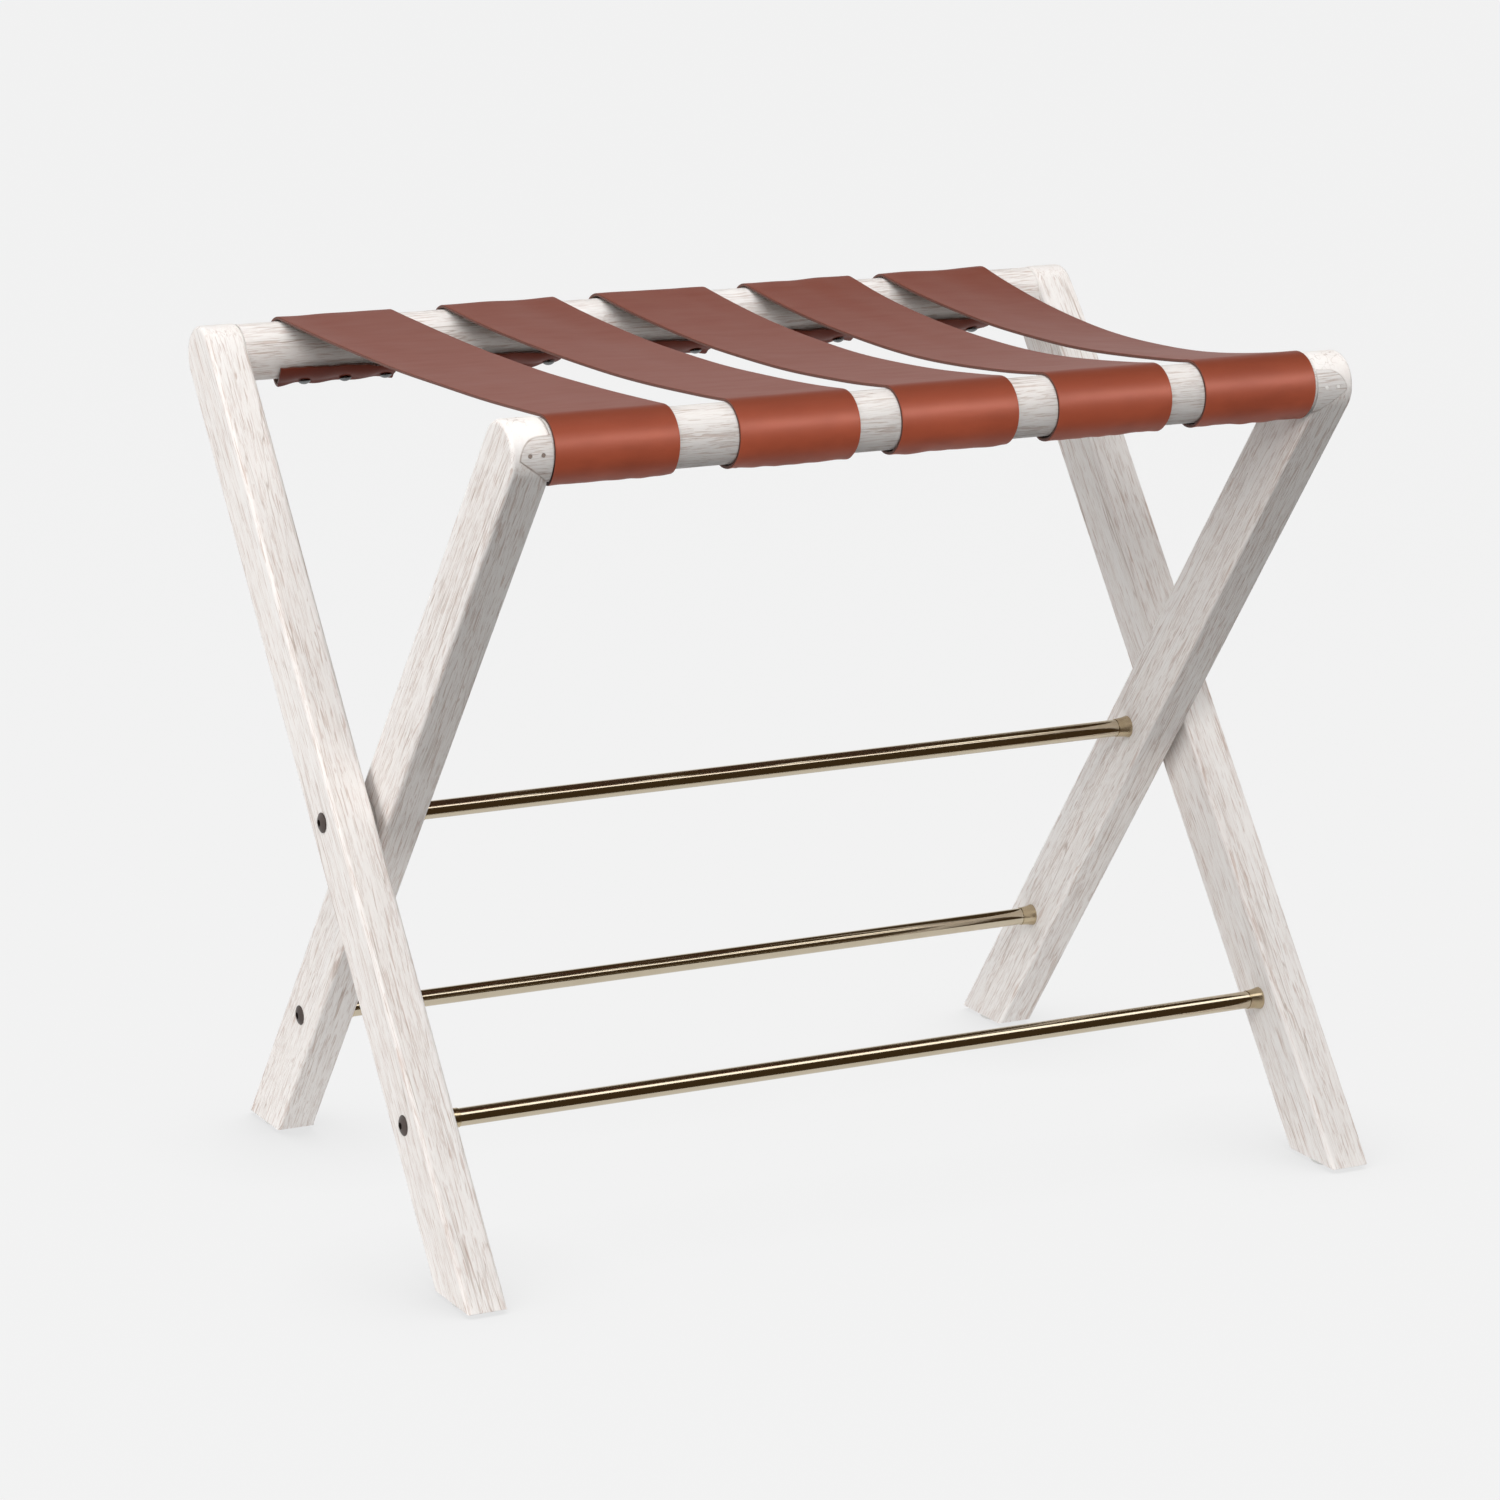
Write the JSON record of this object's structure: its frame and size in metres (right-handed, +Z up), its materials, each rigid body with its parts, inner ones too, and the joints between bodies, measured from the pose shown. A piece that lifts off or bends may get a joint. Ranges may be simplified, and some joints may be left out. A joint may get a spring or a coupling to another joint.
{
  "type": "folding luggage rack",
  "caption": "Folding luggage rack: two crossed wooden leg frames on a pivot rod, leather straps nailed across the top rails, and brass rods between the legs.",
  "frame": {"origin": "centre of the rack's outline on the floor, under the pivot", "axes": "+X along the rails to the right, as seen from the front; +Y to the back; +Z up, with the rack standing open on its four feet"},
  "size_m": [0.611, 0.416, 0.5114],
  "materials": {
    "wood": "white-limed open grain, matt",
    "leather": "smooth saddle brown, satin",
    "brass": "polished, slightly aged",
    "steel": "plain, hidden inside the rods and rails",
    "bronze": "dark bronze, satin",
    "tack_metal": "antique dark metal, satin",
    "glide_plastic": "pale grey, matt",
    "spacer_plastic": "pale, matt"
  },
  "bodies": {
    "outer_frame": {"outer_leg_left": "wood", "outer_leg_right": "wood", "back_rail": "wood", "back_rail_pins": "steel", "outer_lower_rod": "brass", "outer_rod_collars": "brass", "outer_rod_inserts": "steel", "outer_rod_bolts": "bronze", "outer_foot_glides": "glide_plastic", "back_strap_tacks": "tack_metal", "strap_1": "leather", "strap_2": "leather", "strap_3": "leather", "strap_4": "leather", "strap_5": "leather"},
    "inner_frame": {"inner_leg_left": "wood", "inner_leg_right": "wood", "front_rail": "wood", "front_rail_pins": "steel", "inner_lower_rod": "brass", "inner_rod_collars": "brass", "inner_rod_inserts": "steel", "inner_rod_bolts": "bronze", "inner_foot_glides": "glide_plastic", "front_strap_tacks": "tack_metal", "pivot_rod": "brass", "pivot_rod_collars": "brass", "pivot_rod_inserts": "steel", "pivot_bolts": "bronze", "pivot_spacers": "spacer_plastic"}
  },
  "joints": [
    {"name": "fold", "type": "hinge", "parent": "outer_frame", "child": "inner_frame", "pos_m": [0, 0, 0.242], "axis": [-1, 0, 0], "range_deg": [0, 63], "deforming": ["strap_1", "strap_2", "strap_3", "strap_4", "strap_5"]}
  ]
}
